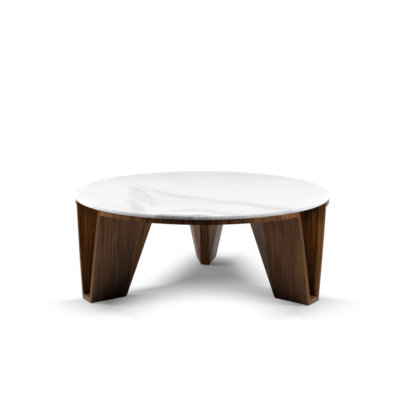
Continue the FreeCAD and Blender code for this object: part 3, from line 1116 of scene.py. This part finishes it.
@dataclass
class Studio:
    """A pale floor that runs out to white, soft lamps and the camera.

    Lengths are in metres and turns in degrees. Of each pair that fades the
    floor, it keeps its paint at the first and is plain white at the second:
    outwards from the shadow's arms, in the arch between the front legs as
    shares of its reach, towards the front, and outwards from the middle. The
    bounce is the floor's colour to the table, which dims towards the front.
    """

    floor_radius: float = 14.0
    floor_sides: int = 96
    floor_drop: float = 0.0002
    floor_paint: str = "#D0D5D8"
    floor_bounce: str = "#F0F0F0"
    front_bounce: str = "#505050"
    front_dim: Pair = (-0.45, -1.1)
    shade_middle: float = 0.05
    shade_lean: Point = (1.0, 1.2, -0.95)
    shade_outer: Pair = (0.12, 0.34)
    arch_middle: Pair = (0.03, -0.55)
    arch_reach: Pair = (0.34, 0.45)
    arch_fade: Pair = (1.6, 0.55)
    shade_front: Pair = (-0.25, -0.55)
    shade_rim: Pair = (0.36, 0.74)
    mirrored_floor: float = 0.3
    mirrored_room: float = 0.78
    room_sweep: Pair = (0.1, 0.7)
    room_paint: str = "#FFFFFF"
    camera_place: Point = (0.1729, -4.6481, 1.2418)
    camera_pitch: float = 10.588
    camera_turn: float = 2.245
    focal_pixels: float = 1120.3
    sensor: float = 36.0
    lamps: tuple[Softbox, ...] = (
        Softbox("top_softbox", 180.0, 89.0, 0.30),
        Softbox("left_softbox", -90.0, 20.0, 0.45),
        Softbox("left_high_softbox", -88.0, 40.0, 0.27),
        Softbox("left_low_softbox", -75.0, 6.0, 0.20),
        Softbox("right_softbox", 70.0, 36.0, 0.70, size=1.0),
        Softbox("right_low_softbox", 75.0, 8.0, 0.06),
        Softbox("left_rim_softbox", -145.0, 32.0, 0.18),
        Softbox("right_rim_softbox", 150.0, 18.0, 0.15),
    )

    def lay_floor(self) -> None:
        """Makes the floor, which keeps the table's shadow."""
        shape = bmesh.new()
        bmesh.ops.create_circle(
            shape, cap_ends=True, segments=self.floor_sides,
            radius=self.floor_radius,
            matrix=Matrix.Translation((0, 0, -self.floor_drop)))
        mesh = bpy.data.meshes.new("studio_floor")
        shape.to_mesh(mesh)
        shape.free()
        floor = bpy.data.objects.new("studio_floor", mesh)
        bpy.context.scene.collection.objects.link(floor)
        mesh.materials.append(self.paint_floor())

    def off_shade(self, tree: Tree, spot: Socket,
                  place: bpy.types.Node) -> Socket:
        """Works out where the floor is plain white.

        The shadow lies along two arms from the back foot to the front feet,
        and the floor keeps its own paint there.

        Args:
            tree: The floor's node tree.
            spot: Place on the floor.
            place: The node that separates it.

        Returns:
            One where the floor is white, and nought where it is painted.
        """
        side = add_node(tree, "Math", {
            0: add_node(tree, "Math", {
                0: place.outputs["X"], 1: self.shade_middle},
                operation="SUBTRACT")}, operation="ABSOLUTE")
        arms = add_node(tree, "VectorMath", {
            0: add_node(tree, "CombineXYZ", {
                "X": side, "Y": place.outputs["Y"],
                "Z": add_node(tree, "Math", {0: place.outputs["Y"], 1: 0.0},
                              operation="MAXIMUM")}),
            1: self.shade_lean}, output="Value", operation="DOT_PRODUCT")
        arch = add_node(tree, "VectorMath", {
            0: add_node(tree, "Mapping", {
                "Vector": spot, "Location": (*self.arch_middle, 0.0),
                "Scale": (*self.arch_reach, 1.0)}, vector_type="TEXTURE")},
            output="Value", operation="LENGTH")
        reach = add_node(tree, "VectorMath", {0: spot}, output="Value",
                         operation="LENGTH")
        white = 0.0
        for source, (paint_to, white_from) in (
                (arms, self.shade_outer), (arch, self.arch_fade),
                (place.outputs["Y"], self.shade_front),
                (reach, self.shade_rim)):
            fade = add_node(tree, "MapRange", {
                "Value": source, "From Min": paint_to,
                "From Max": white_from}, interpolation_type="SMOOTHSTEP")
            white = add_node(tree, "Math", {0: white, 1: fade},
                             operation="MAXIMUM")
        return white

    def paint_floor(self) -> Material:
        """Makes the floor's matt paint, plain white off the shadow.

        Returns:
            The paint.
        """
        paint, tree = Finish("matt_floor_paint").start()
        spot = add_node(tree, "TexCoord", output="Object")
        place = add_node(tree, "SeparateXYZ", {"Vector": spot}).node
        white = self.off_shade(tree, spot, place)
        path = add_node(tree, "LightPath").node
        behind = add_node(tree, "MapRange", {
            "Value": place.outputs["Y"], "To Max": self.mirrored_floor})
        seen = seen_white(tree, path, behind)
        dim = add_node(tree, "MapRange", {
            "Value": place.outputs["Y"], "From Min": self.front_dim[0],
            "From Max": self.front_dim[1]})
        bounce = add_node(tree, "Mix", {
            "Factor": dim, "A": linear(self.floor_bounce),
            "B": linear(self.front_bounce)}, output="Result",
            data_type="RGBA")
        colour = add_node(tree, "Mix", {
            "Factor": path.outputs["Is Camera Ray"], "A": bounce,
            "B": linear(self.floor_paint)}, output="Result", data_type="RGBA")
        both = add_node(tree, "MixShader", {
            0: add_node(tree, "Math", {0: white, 1: seen},
                        operation="MULTIPLY"),
            1: add_node(tree, "BsdfDiffuse", {"Color": colour}),
            2: add_node(tree, "Emission", {"Strength": 1.0})})
        add_node(tree, "OutputMaterial", {"Surface": both})
        return paint

    def light_room(self) -> None:
        """Makes the room white to the camera and dark to the table."""
        world = bpy.data.worlds.new("studio_room")
        bpy.context.scene.world = world
        world.use_nodes = True
        tree = world.node_tree
        tree.nodes.clear()
        path = add_node(tree, "LightPath").node
        back = add_node(tree, "SeparateXYZ", {
            "Vector": add_node(tree, "TexCoord", output="Generated")},
            output="Y")
        sweep = add_node(tree, "MapRange", {
            "Value": back, "From Min": self.room_sweep[0],
            "From Max": self.room_sweep[1], "To Max": self.mirrored_room})
        room = add_node(tree, "Background", {
            "Color": linear(self.room_paint),
            "Strength": seen_white(tree, path, sweep)})
        add_node(tree, "OutputWorld", {"Surface": room})

    def set_camera(self) -> None:
        """Puts the camera at the photograph's angle."""
        lens = bpy.data.cameras.new("photo_camera")
        lens.sensor_width = self.sensor
        lens.lens = self.focal_pixels / PHOTO_PIXELS * self.sensor
        camera = bpy.data.objects.new("photo_camera", lens)
        camera.location = self.camera_place
        camera.rotation_euler = (math.radians(90 - self.camera_pitch), 0.0,
                                 math.radians(self.camera_turn))
        bpy.context.scene.collection.objects.link(camera)
        bpy.context.scene.camera = camera

    def build(self) -> None:
        """Sets up the whole studio."""
        bpy.context.scene.view_settings.view_transform = "Standard"
        self.lay_floor()
        self.light_room()
        for lamp in self.lamps:
            lamp.hang()
        self.set_camera()
        LOG.info("studio set with %d lamps", len(self.lamps))


def painted_leg_finishes(walnut: Material) -> dict[Leg, LegFinishes]:
    """Chooses the walnut finishes of each leg, with their painted shade and
    light.

    Args:
        walnut: The plain veneer, which the gussets share with the sub-top.

    Returns:
        The materials of each leg.
    """
    plain = LegFinishes(
        # Painted shade towards the floor and into the fold.
        panel=OiledWalnut("walnut_panel_veneer", dark="#412312",
                          middle="#794B27", light="#9A683A", lean=4.0,
                          contrast=1.15, foot_shading=0.15,
                          foot_rise=(-60.0, 190.0), corner=0.5).material(),
        # Painted light: lighter and more amber than the outside, for the light
        # that bounces inside the leg; painted shade under the top and towards
        # the floor.
        inside=OiledWalnut("walnut_inside_veneer", dark="#452710",
                           middle="#8A5728", light="#B57C3C", wander=18.0,
                           lean=-3.5, foot_shading=0.2, crown_shading=0.5,
                           sheen=0.1).material(),
        gusset=walnut,
        spine=OiledWalnut("walnut_spine_veneer", ruddy="#6E4A24",
                          sheen=0.08).material(),
        # Painted light: the ends turn lighter towards the floor, where the
        # floor lights them.
        edge=OiledWalnut("walnut_edge_band", dark="#48311F",
                         middle="#63452E", light="#7F5D3F",
                         pale_wood_and_light="#6B4C33", contrast=0.8, foot_shading=1.2,
                         roughness=0.7, sheen=0.1).material(),
        plate=OiledWalnut("walnut_foot_plate", foot_shading=1.0).material(),
        sole=OiledWalnut("walnut_sole_edge", dark="#624738",
                         middle="#775B4B", light="#896C5B", contrast=0.8,
                         foot_shading=1.0).material(),
    )
    # Front left leg: painted shade on the panels towards the foot and into the
    # fold, and painted light on the gussets, a lighter copy of the walnut.
    left = replace(
        plain,
        panel=OiledWalnut("walnut_painted_shade_panel", dark="#442717",
                          middle="#7C522C", light="#A67544", lean=4.0,
                          contrast=1.1, foot_shading=0.08,
                          foot_rise=(-60.0, 215.0), corner=0.8).material(),
        gusset=OiledWalnut("walnut_painted_light_gusset", dark="#452814",
                           middle="#7E5226", light="#A9763D",
                           sheen=0.08).material())
    # Inside, the front right leg is painted darker, as painted shade, with a
    # pale strip of painted light along its outer end.
    right = replace(
        plain,
        inside=OiledWalnut("walnut_shade_veneer", dark="#371D0C",
                           middle="#673E1A", light="#8F5B29",
                           pale_wood_and_light="#C0844A", wander=18.0, lean=-3.5,
                           foot_shading=0.35, crown_shading=0.4,
                           sheen=0.1).material())
    return {Leg.BACK: plain, Leg.FRONT_LEFT: left, Leg.FRONT_RIGHT: right}


def main() -> None:
    """Builds the table's pieces and the studio in order."""
    logging.basicConfig(level=logging.INFO, format="%(name)s: %(message)s")
    walnut = OiledWalnut("oiled_walnut_veneer").material()
    leg_finishes = painted_leg_finishes(walnut)
    # Painted shade and light: the lipping is darker than the veneer, partly
    # its own darker wood and partly painted shade, and each band is painted
    # dark in its middle and pale towards its ends.
    lipping = OiledWalnut("walnut_lipping", dark="#24130A", middle="#402614",
                          light="#654024", pale_wood_and_light="#AE7646", band=42.0,
                          sheen=0.15).material()
    MarbleTop().dress()
    SubTop().dress(walnut, lipping)
    for count, leg in enumerate(Leg):
        FoldedLeg(leg, NUMBERS_PER_LEG * count + 1).dress(
            leg_finishes[leg], STAVES_AND_LIGHT[leg])
    Fittings().dress()
    Studio().build()


if __name__ == "__main__":
    main()
